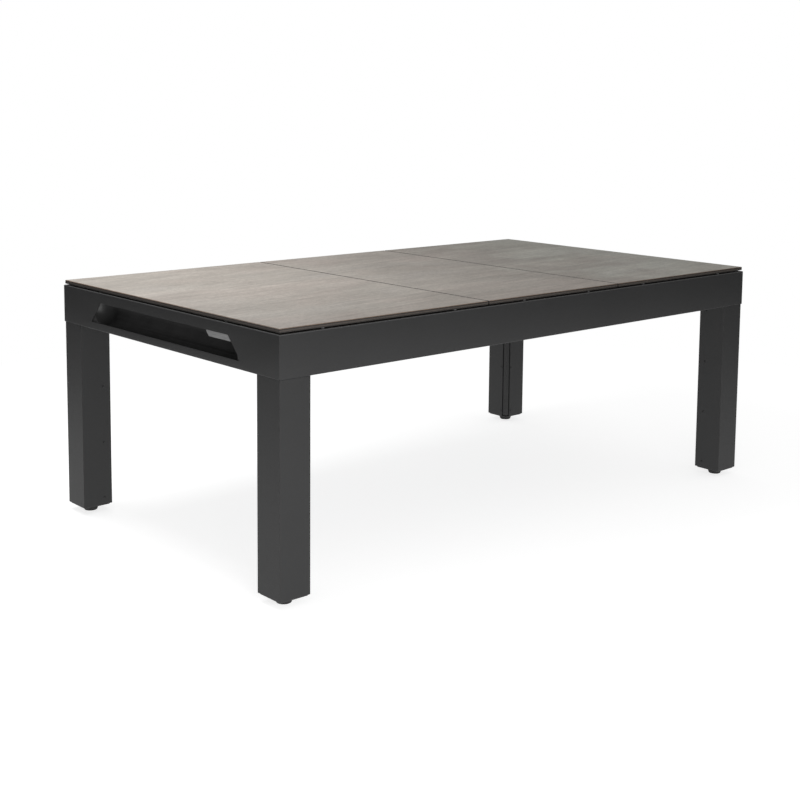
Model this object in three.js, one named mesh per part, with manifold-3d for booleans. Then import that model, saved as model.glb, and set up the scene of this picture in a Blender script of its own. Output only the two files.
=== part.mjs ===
// Pool table that doubles as a dining table: a folded steel body on four square legs, a slate
// bed with cushions and pockets, gutters that bring the balls back to a trough behind the slot
// in the left end, and three lift-off panels on top.
// Millimetres. +X runs along the table to the right end, +Y to the rear, +Z up. The origin is
// on the floor under the middle of the table.
import * as THREE from "three";
import { mergeVertices } from "three/addons/utils/BufferGeometryUtils.js";
import Module from "manifold-3d";

const wasm = await Module();
wasm.setup();

// ---------- driving dimensions ----------
const LENGTH = 2130;
const WIDTH = 1210;
const HEIGHT = 785;
const GAP = 0.3; // between pieces that touch
const OVERLAP = 1; // of shapes that are joined into one, or of a tool past what it cuts

const BODY_BASE = 645;
const PANEL_THICKNESS = 12;
const PANEL_STANDOFF = 4; // the bumpers' height, between body and panels
const PANEL_INSET = 3.5;
const PANEL_SEAM = 5;
const PANEL_SEAMS_X = [-270, 345];
const BODY_TOP = HEIGHT - PANEL_THICKNESS - PANEL_STANDOFF;

const SHEET = 3; // steel of the aprons
const APRON_FLOOR = 135; // width of the flange folded in under the body
const RAIL = 97; // width of the rails, over the cushions' backs
const CUSHION = 48;
const CUSHION_DROP = 2; // of a cushion's back under the body's top
const NOSE_X = LENGTH / 2 - RAIL - CUSHION;
const NOSE_Y = WIDTH / 2 - RAIL - CUSHION;
const RAIL_THICKNESS = 27.7;
const NOSE_UNDERCUT = 18; // from a cushion's nose to the back of its sloping underside
const NOSE_FACE = 4;

const CLOTH_TOP = 725;
const CLOTH = 1;
const SLATE = 20;
const SLATE_OVERHANG_X = 20; // beyond the cushion noses, at the ends
const SLATE_OVERHANG_Y = 40; // and at the sides
const NOSE_HEIGHT = 36; // above the cloth
const SIDE_BEAM = 30;
const CROSS_BEAM = 40;
const BEAM_WALL = 2.5;
const SIDE_BEAM_SETBACK = 70; // of the side beams' ends from the slates' ends

const BALL = 57.15;
const POCKET_RADIUS = 57;
const LINER = 5;
const LINER_DEPTH = 30;
const CORNER_LINER_SWEEP = 216; // degrees that a liner reaches round its pocket
const SIDE_LINER_SWEEP = 210;
const CORNER_MOUTH = 115;
const SIDE_MOUTH = 125;
const CORNER_SHELF = 30;
const SIDE_SHELF = 8;
const CORNER_JAW = 38; // degrees between a cushion's nose line and its end at a corner
const SIDE_JAW = 76; // and at a side pocket

const SLOT_BASE_Z = 669;
const SLOT_TOP_Z = 736;
const SLOT_BASE_HALF = 423;
const SLOT_TOP_HALF = 361;
const PLATE_LENGTH = 111;
const PLATE_HEIGHT = 17;
const PLATE_LIP = 12; // how far the plate runs on behind the apron
const PLATE_LIP_THICKNESS = 1.5;

const TROUGH_RADIUS = BALL; // its hollow, centred on the body's outer face
const TROUGH_AXIS_Z = 715;
const TROUGH_TOP_Z = 733;
const TROUGH_HALF = 405;
const TROUGH_WALL = 3;
const WINDOW_Y = [-402, -338]; // the opening in the trough's back, where balls roll in
const WINDOW_REACH = 12; // how far the opening cuts into the trough's curved floor

const GUTTER_SHEET = 1.5;
const CLEARANCE = 2; // between the return's pieces
const GUTTER_CLEARANCE = 3.5; // between a gutter and the slates or the apron
const GUTTER_TOP_Z = 703;
const GUTTER_HIGH_Z = 676; // a gutter's floor at the right end
const GUTTER_LOW_Z = 668.5; // and where it meets the lane
const LANE = 63; // clear width of the lane behind the trough
const LANE_END_Z = 667.5; // the lane's floor at its ends
const LANE_EXIT_Z = 665.5; // and at the trough's window
const TRAY = 120; // length of the tray under a right corner pocket
const TRAY_RISE = 6; // how much higher a tray's inner edge is than its gutter

const LEG = 105;
const LEG_INSET = 2.5;
const LEG_SHEET = 2;
const LEG_BASE_Z = 24;
const NOTCH = 22; // open inner corner of two legs' shells
const RETURN = 3.5; // depth of the shell's folded edges
const POST_NOSE = [0.8, 16.5]; // the post's strip in the notch, from the leg's inner corner
const POST = [4, 38];
const POST_WALL = 3;
const POST_BASE_Z = 29;
const PLATE_THICKNESS = 5;
const CAP_BASE_Z = 20;
const CAP_INSET = 5;
const CAP_NOTCH = 8;
const CAP_PLUG = 8; // how far the cap reaches into its leg
const CAP_CLEARANCE = 3; // between the cap's plug and the post
const BOSS_RADIUS = 11;
const BOSS_HEIGHT = 32;
const STUD_RADIUS = 5;
const STUD_HOLE = 5.8;
const STUD_LEVELS = [4.3, 64];
const PAD_HEIGHT = 14;
const PAD_RADIUS = 25;
const PAD_FOOT_RADIUS = 21;
const PAD_EDGE = 3; // the pad's chamfer

const ENDS = [["left", -1], ["right", 1]];
const SIDES = [["front", -1], ["rear", 1]];

// ---------- materials ----------
const finish = (color, roughness, metalness) =>
  new THREE.MeshStandardMaterial({ color, roughness, metalness });
const MATERIALS = {
  powderCoat: finish(0x3f4043, 0.62, 0.3),
  galvanised: finish(0x9a9c9e, 0.45, 0.9),
  blackPlastic: finish(0x121213, 0.35, 0),
  rubber: finish(0x1a1a1a, 0.85, 0),
  laminate: finish(0xb9b0a4, 0.55, 0),
  slate: finish(0x5b6064, 0.8, 0),
  cloth: finish(0x1f5b3f, 0.95, 0),
  wood: finish(0x2a2724, 0.6, 0),
  plate: finish(0xc4c6c8, 0.35, 0.8),
};

// ---------- shape helpers ----------
const X = new THREE.Vector3(1, 0, 0);
const Y = new THREE.Vector3(0, 1, 0);
const Z = new THREE.Vector3(0, 0, 1);
// Where an outline's two directions and its depth go: along "x" an outline is drawn in (y, z),
// along "y" in (z, x) and along "z" in (x, y).
const BASIS = {
  x: new THREE.Matrix4().makeBasis(Y, Z, X),
  y: new THREE.Matrix4().makeBasis(Z, X, Y),
  z: new THREE.Matrix4().makeBasis(X, Y, Z),
};

function prism(outline, from, to, along = "z", holes = []) {
  const shape = outline instanceof THREE.Shape ? outline : new THREE.Shape(points(outline));
  shape.holes.push(...holes.map((hole) => new THREE.Path(points(hole))));
  return new THREE.ExtrudeGeometry(shape, { depth: to - from, bevelEnabled: false, curveSegments: 12 })
    .translate(0, 0, from)
    .applyMatrix4(BASIS[along]);
}

const points = (pairs) => pairs.map(([a, b]) => new THREE.Vector2(a, b));

function block([x0, x1], [y0, y1], [z0, z1]) {
  return new THREE.BoxGeometry(x1 - x0, y1 - y0, z1 - z0).translate(
    (x0 + x1) / 2,
    (y0 + y1) / 2,
    (z0 + z1) / 2,
  );
}

function cylinder([x, y], radius, [z0, z1], sides = 32) {
  return new THREE.CylinderGeometry(radius, radius, z1 - z0, sides)
    .rotateX(Math.PI / 2)
    .translate(x, y, (z0 + z1) / 2);
}

function solid(geometry) {
  const plain = geometry.index ? geometry.toNonIndexed() : geometry.clone();
  plain.deleteAttribute("normal");
  plain.deleteAttribute("uv");
  const merged = mergeVertices(plain, 1e-4);
  return new wasm.Manifold(
    new wasm.Mesh({
      numProp: 3,
      vertProperties: merged.attributes.position.array,
      triVerts: new Uint32Array(merged.index.array),
    }),
  );
}

function geometryOf(shape) {
  const { vertProperties, triVerts } = shape.getMesh();
  const geometry = new THREE.BufferGeometry()
    .setAttribute("position", new THREE.BufferAttribute(vertProperties, 3))
    .setIndex(new THREE.BufferAttribute(triVerts, 1));
  geometry.computeVertexNormals();
  return geometry;
}

const join = (...parts) => geometryOf(parts.map(solid).reduce((all, part) => all.add(part)));
const cut = (body, ...tools) =>
  geometryOf(tools.map(solid).reduce((rest, tool) => rest.subtract(tool), solid(body)));
const common = (a, b) => geometryOf(solid(a).intersect(solid(b)));

const table = new THREE.Group();

function add(name, geometry, material, scale = [1, 1, 1]) {
  const mesh = new THREE.Mesh(geometry, MATERIALS[material]);
  mesh.name = name;
  mesh.scale.set(...scale);
  table.add(mesh);
}

// ---------- pockets ----------
// Each centre lies its shelf and its radius beyond the middle of the pocket's mouth.
const cornerReach = CORNER_MOUTH / Math.SQRT2;
const cornerShift = (CORNER_SHELF + POCKET_RADIUS) / Math.SQRT2;
const CORNER_POCKET = [
  NOSE_X - cornerReach / 2 + cornerShift,
  NOSE_Y - cornerReach / 2 + cornerShift,
];
const SIDE_POCKET = [0, NOSE_Y + SIDE_SHELF + POCKET_RADIUS];

function pocketCores(radius, levels) {
  const [x, y] = CORNER_POCKET;
  const cores = [];
  for (const [, sy] of SIDES) {
    cores.push(cylinder([0, sy * SIDE_POCKET[1]], radius, levels));
    for (const [, sx] of ENDS) cores.push(cylinder([sx * x, sy * y], radius, levels));
  }
  return cores;
}

const linerClear = pocketCores(POCKET_RADIUS + LINER + GAP, [CLOTH_TOP, HEIGHT]);
const bedHoles = pocketCores(POCKET_RADIUS + CLOTH, [BODY_BASE, BODY_TOP]);

// A liner is a horseshoe whose back is `outwards`, in degrees from +X, and it is open towards
// the bed.
function liner([x, y], outwards, sweep) {
  const start = THREE.MathUtils.degToRad(outwards - sweep / 2);
  const end = THREE.MathUtils.degToRad(outwards + sweep / 2);
  const shape = new THREE.Shape();
  shape.absarc(0, 0, POCKET_RADIUS + LINER, start, end, false);
  shape.absarc(0, 0, POCKET_RADIUS, end, start, true);
  return prism(shape, BODY_TOP - LINER_DEPTH, BODY_TOP - GAP).translate(x, y, 0);
}

// ---------- body ----------
// An apron's section: flange under the body, web, and flange over the rail. It is drawn with
// the body's outer face at the distance `out` from the table's middle.
function apronSection(out) {
  const inner = out - SHEET;
  return [
    [out, BODY_BASE],
    [out, BODY_TOP],
    [out - RAIL, BODY_TOP],
    [out - RAIL, BODY_TOP - SHEET],
    [inner, BODY_TOP - SHEET],
    [inner, BODY_BASE + SHEET],
    [out - APRON_FLOOR, BODY_BASE + SHEET],
    [out - APRON_FLOOR, BODY_BASE],
  ];
}

// Plan of one side between its mitres, a little deeper than the apron, for a length of 2 * half.
function mitrePlan(half, out) {
  const inner = out - APRON_FLOOR - OVERLAP;
  const near = half - APRON_FLOOR - OVERLAP - GAP;
  const far = half + OVERLAP - GAP;
  return [[-near, inner], [near, inner], [far, out + OVERLAP], [-far, out + OVERLAP]];
}

const swapped = (outline) => outline.map(([a, b]) => [b, a]).reverse();

function longApron() {
  const out = WIDTH / 2;
  const bar = prism(apronSection(out), -LENGTH / 2, LENGTH / 2, "x");
  const plan = prism(mitrePlan(LENGTH / 2, out), 0, HEIGHT);
  return cut(common(bar, plan), ...linerClear);
}

function endApron() {
  const out = LENGTH / 2;
  const bar = prism(swapped(apronSection(out)), -WIDTH / 2, WIDTH / 2, "y");
  const plan = prism(swapped(mitrePlan(WIDTH / 2, out)), 0, HEIGHT);
  return cut(common(bar, plan), ...linerClear);
}

function slotTool() {
  const outline = [
    [-SLOT_BASE_HALF, SLOT_BASE_Z],
    [SLOT_BASE_HALF, SLOT_BASE_Z],
    [SLOT_TOP_HALF, SLOT_TOP_Z],
    [-SLOT_TOP_HALF, SLOT_TOP_Z],
  ];
  return prism(outline, LENGTH / 2 - SHEET - OVERLAP, LENGTH / 2 + OVERLAP, "x");
}

// The name plate fills the slot's upper corner at the front, and a lip behind it holds it to
// the apron.
function namePlate() {
  const lean = (SLOT_BASE_HALF - SLOT_TOP_HALF) / (SLOT_TOP_Z - SLOT_BASE_Z);
  const [base, top] = [SLOT_TOP_Z - GAP - PLATE_HEIGHT, SLOT_TOP_Z - GAP];
  const topY = GAP - SLOT_TOP_HALF;
  const baseY = topY - lean * PLATE_HEIGHT;
  const face = [
    [baseY, base],
    [baseY + PLATE_LENGTH, base],
    [topY + PLATE_LENGTH, top],
    [topY, top],
  ];
  const back = LENGTH / 2 - SHEET - GAP;
  const front = prism(face, back - PLATE_LIP_THICKNESS, LENGTH / 2, "x");
  const lipLevels = [base + OVERLAP, top - OVERLAP];
  const lip = block([back - PLATE_LIP_THICKNESS, back], [baseY - PLATE_LIP, topY], lipLevels);
  return join(front, lip);
}

function buildAprons() {
  for (const [side, sy] of SIDES) add(`${side}_apron`, longApron(), "powderCoat", [1, sy, 1]);
  add("right_end_apron", endApron(), "powderCoat");
  add("left_end_apron", cut(endApron(), slotTool()), "powderCoat", [-1, 1, 1]);
  add("name_plate", namePlate(), "plate", [-1, 1, 1]);
}

// ---------- rails and cushions ----------
const RAIL_LEVELS = [BODY_TOP - SHEET - GAP - RAIL_THICKNESS, BODY_TOP - SHEET - GAP];
const railOut = (half) => half - SHEET - GAP;
const railIn = (half) => half - RAIL + GAP;

function sideRail() {
  const [inner, outer] = [railIn(WIDTH / 2), railOut(WIDTH / 2)];
  const mitre = (LENGTH - WIDTH) / 2 - GAP;
  const plan = [
    [GAP, inner],
    [inner + mitre, inner],
    [outer + mitre, outer],
    [GAP, outer],
  ];
  return cut(prism(plan, ...RAIL_LEVELS), ...linerClear);
}

function endRail() {
  const [inner, outer] = [railIn(LENGTH / 2), railOut(LENGTH / 2)];
  const mitre = (LENGTH - WIDTH) / 2 + GAP;
  const plan = [
    [inner, mitre - inner],
    [outer, mitre - outer],
    [outer, outer - mitre],
    [inner, inner - mitre],
  ];
  return cut(prism(plan, ...RAIL_LEVELS), ...linerClear);
}

// A cushion's section, from its nose outwards, with the cloth's thickness left under it.
function cushionSection(nose) {
  const base = CLOTH_TOP + GAP;
  return [
    [nose, CLOTH_TOP + NOSE_HEIGHT - NOSE_FACE],
    [nose + NOSE_UNDERCUT, base],
    [nose + CUSHION, base],
    [nose + CUSHION, BODY_TOP - CUSHION_DROP],
    [nose, CLOTH_TOP + NOSE_HEIGHT],
  ];
}

const jawRun = (degrees) => CUSHION / Math.tan(THREE.MathUtils.degToRad(degrees));

function sideCushion() {
  const near = SIDE_MOUTH / 2;
  const far = NOSE_X - cornerReach;
  const plan = [
    [near, NOSE_Y],
    [far, NOSE_Y],
    [far + jawRun(CORNER_JAW), NOSE_Y + CUSHION],
    [near - jawRun(SIDE_JAW), NOSE_Y + CUSHION],
  ];
  const bar = prism(cushionSection(NOSE_Y), 0, LENGTH / 2, "x");
  return cut(common(bar, prism(plan, 0, HEIGHT)), ...linerClear);
}

function endCushion() {
  const reach = NOSE_Y - cornerReach;
  const plan = [
    [NOSE_X, -reach],
    [NOSE_X + CUSHION, -reach - jawRun(CORNER_JAW)],
    [NOSE_X + CUSHION, reach + jawRun(CORNER_JAW)],
    [NOSE_X, reach],
  ];
  const bar = prism(swapped(cushionSection(NOSE_X)), -WIDTH / 2, WIDTH / 2, "y");
  return cut(common(bar, prism(plan, 0, HEIGHT)), ...linerClear);
}

function buildRails() {
  const cornerLiner = liner(CORNER_POCKET, 45, CORNER_LINER_SWEEP);
  const sideLiner = liner(SIDE_POCKET, 90, SIDE_LINER_SWEEP);
  for (const [end, sx] of ENDS) {
    add(`${end}_end_rail`, endRail(), "wood", [sx, 1, 1]);
    add(`${end}_end_cushion`, endCushion(), "cloth", [sx, 1, 1]);
    for (const [side, sy] of SIDES) {
      add(`${side}_${end}_rail`, sideRail(), "wood", [sx, sy, 1]);
      add(`${side}_${end}_cushion`, sideCushion(), "cloth", [sx, sy, 1]);
      add(`${side}_${end}_pocket_liner`, cornerLiner, "blackPlastic", [sx, sy, 1]);
    }
  }
  for (const [side, sy] of SIDES) {
    add(`${side}_middle_pocket_liner`, sideLiner, "blackPlastic", [1, sy, 1]);
  }
}

// ---------- bed ----------
const BED_HALF_X = NOSE_X + SLATE_OVERHANG_X;
const BED_HALF_Y = NOSE_Y + SLATE_OVERHANG_Y;
const SLATE_LEVELS = [CLOTH_TOP - CLOTH - GAP - SLATE, CLOTH_TOP - CLOTH - GAP];
const SLATE_LENGTH = (2 * BED_HALF_X) / 3;
const BEAM_LEVELS = [BODY_BASE + SHEET + GAP, SLATE_LEVELS[0] - GAP];
const SIDE_BEAM_HALF = BED_HALF_X - SIDE_BEAM_SETBACK;

function tube([a0, a1], [z0, z1], from, to, along) {
  const [b0, b1] = [a0 + BEAM_WALL, a1 - BEAM_WALL];
  const [w0, w1] = [z0 + BEAM_WALL, z1 - BEAM_WALL];
  const ring = [[a0, z0], [a1, z0], [a1, z1], [a0, z1]];
  const hollow = [[b0, w0], [b0, w1], [b1, w1], [b1, w0]];
  if (along === "x") return prism(ring, from, to, "x", [hollow]);
  return prism(swapped(ring), from, to, "y", [swapped(hollow)]);
}

function buildBed() {
  ["left", "middle", "right"].forEach((place, i) => {
    const start = -BED_HALF_X + i * SLATE_LENGTH;
    const span = [start + GAP / 2, start + SLATE_LENGTH - GAP / 2];
    const slab = block(span, [-BED_HALF_Y, BED_HALF_Y], SLATE_LEVELS);
    add(`${place}_slate`, cut(slab, ...bedHoles), "slate");
  });
  const clothLevels = [CLOTH_TOP - CLOTH, CLOTH_TOP];
  const sheet = block([-BED_HALF_X, BED_HALF_X], [-BED_HALF_Y, BED_HALF_Y], clothLevels);
  add("bed_cloth", cut(sheet, ...bedHoles), "cloth");

  const beamIn = BED_HALF_Y - SIDE_BEAM;
  const side = tube([beamIn, BED_HALF_Y], BEAM_LEVELS, -SIDE_BEAM_HALF, SIDE_BEAM_HALF, "x");
  for (const [name, sy] of SIDES) add(`${name}_bed_beam`, side, "powderCoat", [1, sy, 1]);
  const outerX = SIDE_BEAM_HALF - CROSS_BEAM;
  const centres = [-outerX, -SLATE_LENGTH / 2, SLATE_LENGTH / 2, outerX];
  centres.forEach((x, i) => {
    const span = [x - CROSS_BEAM / 2, x + CROSS_BEAM / 2];
    const beam = tube(span, BEAM_LEVELS, -beamIn + GAP, beamIn - GAP, "y");
    add(`cross_beam_${i + 1}`, beam, "powderCoat");
  });
}

// ---------- ball return ----------
const LANE_OUT = LENGTH / 2 - TROUGH_RADIUS - TROUGH_WALL - CLEARANCE;
const LANE_IN = LANE_OUT - LANE;
const GUTTER_IN = BED_HALF_Y + GUTTER_CLEARANCE;
const GUTTER_OUT = WIDTH / 2 - SHEET - GUTTER_CLEARANCE;
const TRAY_IN = CORNER_POCKET[1] - POCKET_RADIUS;
const TRAY_HIGH_Z = GUTTER_HIGH_Z + TRAY_RISE;

// A side gutter is an open channel that falls towards the left, with a tilted tray under the
// right corner pocket.
function sideGutter() {
  const t = GUTTER_SHEET;
  const left = CLEARANCE - LANE_IN;
  const right = CORNER_POCKET[0] + POCKET_RADIUS + CLEARANCE;
  const trayFrom = right - TRAY;
  const side = [
    [left, GUTTER_LOW_Z - t],
    [right, GUTTER_HIGH_Z - t],
    [right, GUTTER_TOP_Z],
    [left, GUTTER_TOP_Z],
  ];
  const hollow = [
    [left - OVERLAP, GUTTER_LOW_Z],
    [right - t, GUTTER_HIGH_Z],
    [right - t, HEIGHT],
    [left - OVERLAP, HEIGHT],
  ];
  const channel = cut(
    prism(swapped(side), GUTTER_IN, GUTTER_OUT, "y"),
    prism(swapped(hollow), GUTTER_IN + t, GUTTER_OUT - t, "y"),
    block([trayFrom, right - t], [GUTTER_IN - OVERLAP, GUTTER_OUT - t], [GUTTER_HIGH_Z, HEIGHT]),
  );
  const tray = [
    [TRAY_IN, TRAY_HIGH_Z - t],
    [GUTTER_IN + t, GUTTER_HIGH_Z - t],
    [GUTTER_IN + t, GUTTER_HIGH_Z],
    [TRAY_IN + t, TRAY_HIGH_Z],
    [TRAY_IN + t, GUTTER_TOP_Z],
    [TRAY_IN, GUTTER_TOP_Z],
  ];
  const trayEnd = block([right - t, right], [TRAY_IN, GUTTER_OUT], [GUTTER_HIGH_Z - t, GUTTER_TOP_Z]);
  return join(channel, prism(tray, trayFrom, right, "x"), trayEnd);
}

// The lane crosses behind the trough and falls from both ends to the trough's window, with a
// tilted tray under each left corner pocket. It is drawn at the right end and mirrored.
function returnLane() {
  const t = GUTTER_SHEET;
  const exit = (WINDOW_Y[0] + WINDOW_Y[1]) / 2;
  const floor = [
    [-GUTTER_OUT, LANE_END_Z - t],
    [exit, LANE_EXIT_Z - t],
    [GUTTER_OUT, LANE_END_Z - t],
    [GUTTER_OUT, LANE_END_Z],
    [exit, LANE_EXIT_Z],
    [-GUTTER_OUT, LANE_END_Z],
  ];
  const trayEnd = CORNER_POCKET[0] - POCKET_RADIUS;
  const tray = [
    [trayEnd, TRAY_HIGH_Z - t],
    [LANE_IN + t, LANE_END_Z - t],
    [LANE_IN + t, LANE_END_Z],
    [trayEnd + t, TRAY_HIGH_Z],
    [trayEnd + t, GUTTER_TOP_Z],
    [trayEnd, GUTTER_TOP_Z],
  ];
  const wallLevels = [LANE_EXIT_Z - t, GUTTER_TOP_Z];
  const pastTrough = TROUGH_HALF + TROUGH_WALL + CLEARANCE;
  const pieces = [
    prism(floor, LANE_IN, LANE_OUT, "x"),
    block([LANE_IN, LANE_IN + t], [-TRAY_IN, TRAY_IN], wallLevels),
  ];
  for (const [, sy] of SIDES) {
    const onSide = (from, to) => [sy * from, sy * to].sort((a, b) => a - b);
    pieces.push(
      block([LANE_OUT - t, LANE_OUT], onSide(pastTrough, GUTTER_OUT), wallLevels),
      prism(swapped(tray), ...onSide(TRAY_IN, GUTTER_IN - CLEARANCE), "y"),
    );
  }
  return join(...pieces);
}

// The form that the trough's inside and outside share: a quarter round about the body's outer
// face, dished at its rear end and carried straight up from its axis.
function troughForm(radius, frontY, top) {
  const out = LENGTH / 2;
  const section = new THREE.Shape();
  section.moveTo(top, out);
  section.lineTo(top, out - radius);
  section.absarc(TROUGH_AXIS_Z, out, radius, -Math.PI / 2, -Math.PI, true);
  const dishY = TROUGH_HALF - TROUGH_RADIUS;
  const dish = new THREE.SphereGeometry(radius, 48, 24)
    .rotateX(Math.PI / 2)
    .translate(out, dishY, TROUGH_AXIS_Z);
  return join(
    prism(section, frontY, dishY, "y"),
    dish,
    cylinder([out, dishY], radius, [TROUGH_AXIS_Z, top], 48),
  );
}

function trough() {
  const [inner, outer] = [TROUGH_RADIUS, TROUGH_RADIUS + TROUGH_WALL];
  const depth = [LENGTH / 2 - outer - OVERLAP, LENGTH / 2 - SHEET - GAP];
  const behindApron = block(depth, [-WIDTH / 2, WIDTH / 2], [BODY_BASE, TROUGH_TOP_Z]);
  const form = troughForm(outer, -TROUGH_HALF - TROUGH_WALL, TROUGH_TOP_Z);
  const windowDepth = [depth[0], LENGTH / 2 - inner + WINDOW_REACH];
  return cut(
    common(form, behindApron),
    troughForm(inner, -TROUGH_HALF, TROUGH_TOP_Z + OVERLAP),
    block(windowDepth, WINDOW_Y, [LANE_EXIT_Z, TROUGH_TOP_Z + OVERLAP]),
  );
}

function buildReturn() {
  for (const [side, sy] of SIDES) add(`${side}_gutter`, sideGutter(), "galvanised", [1, sy, 1]);
  add("return_lane", returnLane(), "galvanised", [-1, 1, 1]);
  add("ball_trough", trough(), "blackPlastic", [-1, 1, 1]);
}

// ---------- legs ----------
// Every leg is drawn from its inner corner, the one nearest the table's middle, with both
// directions running outwards. The shells of two legs, diagonally opposite, are open there.
const LEG_CORNER = [LENGTH / 2 - LEG_INSET - LEG, WIDTH / 2 - LEG_INSET - LEG];
const LEG_TOP = BODY_BASE - GAP;
const STUD_AXIS = [LEG / 2, LEG / 2];

const square = (from, to) => [[from, from], [to, from], [to, to], [from, to]];

function legShell(open) {
  const s = LEG_SHEET;
  if (!open) return prism(square(0, LEG), LEG_BASE_Z, LEG_TOP, "z", [square(s, LEG - s)]);
  const outline = [
    [NOTCH, 0],
    [LEG, 0],
    [LEG, LEG],
    [0, LEG],
    [0, NOTCH],
    [RETURN, NOTCH],
    [RETURN, NOTCH + s],
    [s, NOTCH + s],
    [s, LEG - s],
    [LEG - s, LEG - s],
    [LEG - s, s],
    [NOTCH + s, s],
    [NOTCH + s, RETURN],
    [NOTCH, RETURN],
  ];
  return prism(outline, LEG_BASE_Z, LEG_TOP);
}

// The post is a square tube that carries the plate the body is bolted to. In an open shell it
// also has a strip that fills the shell's corner.
function legPost(open) {
  const [n0, n1] = POST_NOSE;
  const [p0, p1] = POST;
  const withStrip = [[n0, n0], [n1, n0], [n1, p0], [p1, p0], [p1, p1], [p0, p1], [p0, n1], [n0, n1]];
  const outline = open ? withStrip : square(p0, p1);
  const hollow = square(p0 + POST_WALL, p1 - POST_WALL);
  const plateSpan = [p0, LEG - LEG_SHEET - GAP];
  const plate = block(plateSpan, plateSpan, [LEG_TOP - PLATE_THICKNESS, LEG_TOP]);
  return join(prism(outline, POST_BASE_Z, LEG_TOP - OVERLAP, "z", [hollow]), plate);
}

// A square from `from` to `to` on both axes, with its inner corner cut away up to `corner`.
const notched = (from, to, corner) => [
  [corner, from],
  [to, from],
  [to, to],
  [from, to],
  [from, corner],
  [corner, corner],
];

function legCap() {
  const fit = LEG_SHEET + 2 * GAP;
  const sole = notched(CAP_INSET, LEG - CAP_INSET, CAP_NOTCH);
  const plug = notched(fit, LEG - fit, POST[1] + CAP_CLEARANCE);
  const root = LEG_BASE_Z - OVERLAP;
  const bossTop = LEG_BASE_Z + BOSS_HEIGHT;
  const cap = join(
    prism(sole, CAP_BASE_Z, LEG_BASE_Z),
    prism(plug, root, LEG_BASE_Z + CAP_PLUG),
    cylinder(STUD_AXIS, BOSS_RADIUS, [root, bossTop], 24),
  );
  return cut(cap, cylinder(STUD_AXIS, STUD_HOLE, [0, bossTop + OVERLAP], 20));
}

const levellingStud = () => cylinder(STUD_AXIS, STUD_RADIUS, STUD_LEVELS, 16);

// The pad widens upwards from the floor to its shoulder.
function footPad() {
  const socket = STUD_LEVELS[0] - GAP;
  const profile = [
    [0, 0],
    [PAD_FOOT_RADIUS, 0],
    [PAD_RADIUS, PAD_HEIGHT - PAD_EDGE],
    [PAD_RADIUS - PAD_EDGE, PAD_HEIGHT],
    [STUD_HOLE, PAD_HEIGHT],
    [STUD_HOLE, socket],
    [0, socket],
  ];
  return new THREE.LatheGeometry(points(profile), 32)
    .rotateX(Math.PI / 2)
    .translate(...STUD_AXIS, 0);
}

function buildLegs() {
  for (const [end, sx] of ENDS) {
    for (const [side, sy] of SIDES) {
      const open = sx === sy;
      const pieces = [
        ["leg_shell", legShell(open), "powderCoat"],
        ["leg_post", legPost(open), "powderCoat"],
        ["leg_cap", legCap(), "blackPlastic"],
        ["levelling_stud", levellingStud(), "galvanised"],
        ["foot_pad", footPad(), "rubber"],
      ];
      for (const [name, geometry, material] of pieces) {
        geometry.translate(...LEG_CORNER, 0);
        add(`${side}_${end}_${name}`, geometry, material, [sx, sy, 1]);
      }
    }
  }
}

// ---------- dining top ----------
function buildPanels() {
  const edge = LENGTH / 2 - PANEL_INSET;
  const half = WIDTH / 2 - PANEL_INSET;
  const cuts = [-edge - PANEL_SEAM / 2, ...PANEL_SEAMS_X, edge + PANEL_SEAM / 2];
  ["left", "middle", "right"].forEach((place, i) => {
    const span = [cuts[i] + PANEL_SEAM / 2, cuts[i + 1] - PANEL_SEAM / 2];
    const slab = block(span, [-half, half], [HEIGHT - PANEL_THICKNESS, HEIGHT]);
    add(`${place}_panel`, slab, "laminate");
  });
}

buildAprons();
buildRails();
buildBed();
buildReturn();
buildLegs();
buildPanels();

export default table;
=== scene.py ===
"""Looks of a pool table that doubles as a dining table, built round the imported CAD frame.

Metres, in the frame's own axes: +X along the table away from the slotted end, +Y to the rear,
+Z up. In names, left and right are the -X and +X ends, and front and rear the -Y and +Y sides.
"""

import math

import bmesh
import bpy
from mathutils import Matrix, Vector


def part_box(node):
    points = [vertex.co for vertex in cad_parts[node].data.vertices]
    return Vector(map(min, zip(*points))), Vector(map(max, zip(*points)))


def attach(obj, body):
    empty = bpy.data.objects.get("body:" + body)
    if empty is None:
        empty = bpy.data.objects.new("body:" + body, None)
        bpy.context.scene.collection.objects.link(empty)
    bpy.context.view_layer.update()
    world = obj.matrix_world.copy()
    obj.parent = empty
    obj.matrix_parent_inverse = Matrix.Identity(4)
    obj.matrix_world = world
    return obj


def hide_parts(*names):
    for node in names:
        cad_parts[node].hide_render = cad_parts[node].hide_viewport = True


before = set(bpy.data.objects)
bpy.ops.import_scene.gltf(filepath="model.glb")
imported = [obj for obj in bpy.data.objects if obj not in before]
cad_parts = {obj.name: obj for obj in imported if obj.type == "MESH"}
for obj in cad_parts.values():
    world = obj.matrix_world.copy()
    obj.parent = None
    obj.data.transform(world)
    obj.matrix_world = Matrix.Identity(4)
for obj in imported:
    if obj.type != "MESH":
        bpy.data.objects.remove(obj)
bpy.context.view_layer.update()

MM = 0.001
ENDS = (("left", -1), ("right", 1))
SIDES = (("front", -1), ("rear", 1))
PLACES = ("left", "middle", "right")

# ---------- sizes from the frame ----------
HALF_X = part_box("right_end_apron")[1].x
HALF_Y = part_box("rear_apron")[1].y
BODY_BASE, BODY_TOP = (corner.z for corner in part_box("rear_apron"))
FLANGE_DEPTH = HALF_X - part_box("right_end_apron")[0].x
RAIL_DEPTH = HALF_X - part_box("right_end_cushion")[1].x
PANEL_BASE, PANEL_TOP = (corner.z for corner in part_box("left_panel"))
SIDE_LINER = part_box("rear_middle_pocket_liner")[1]
CORNER_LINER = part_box("rear_right_pocket_liner")[1]

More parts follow.
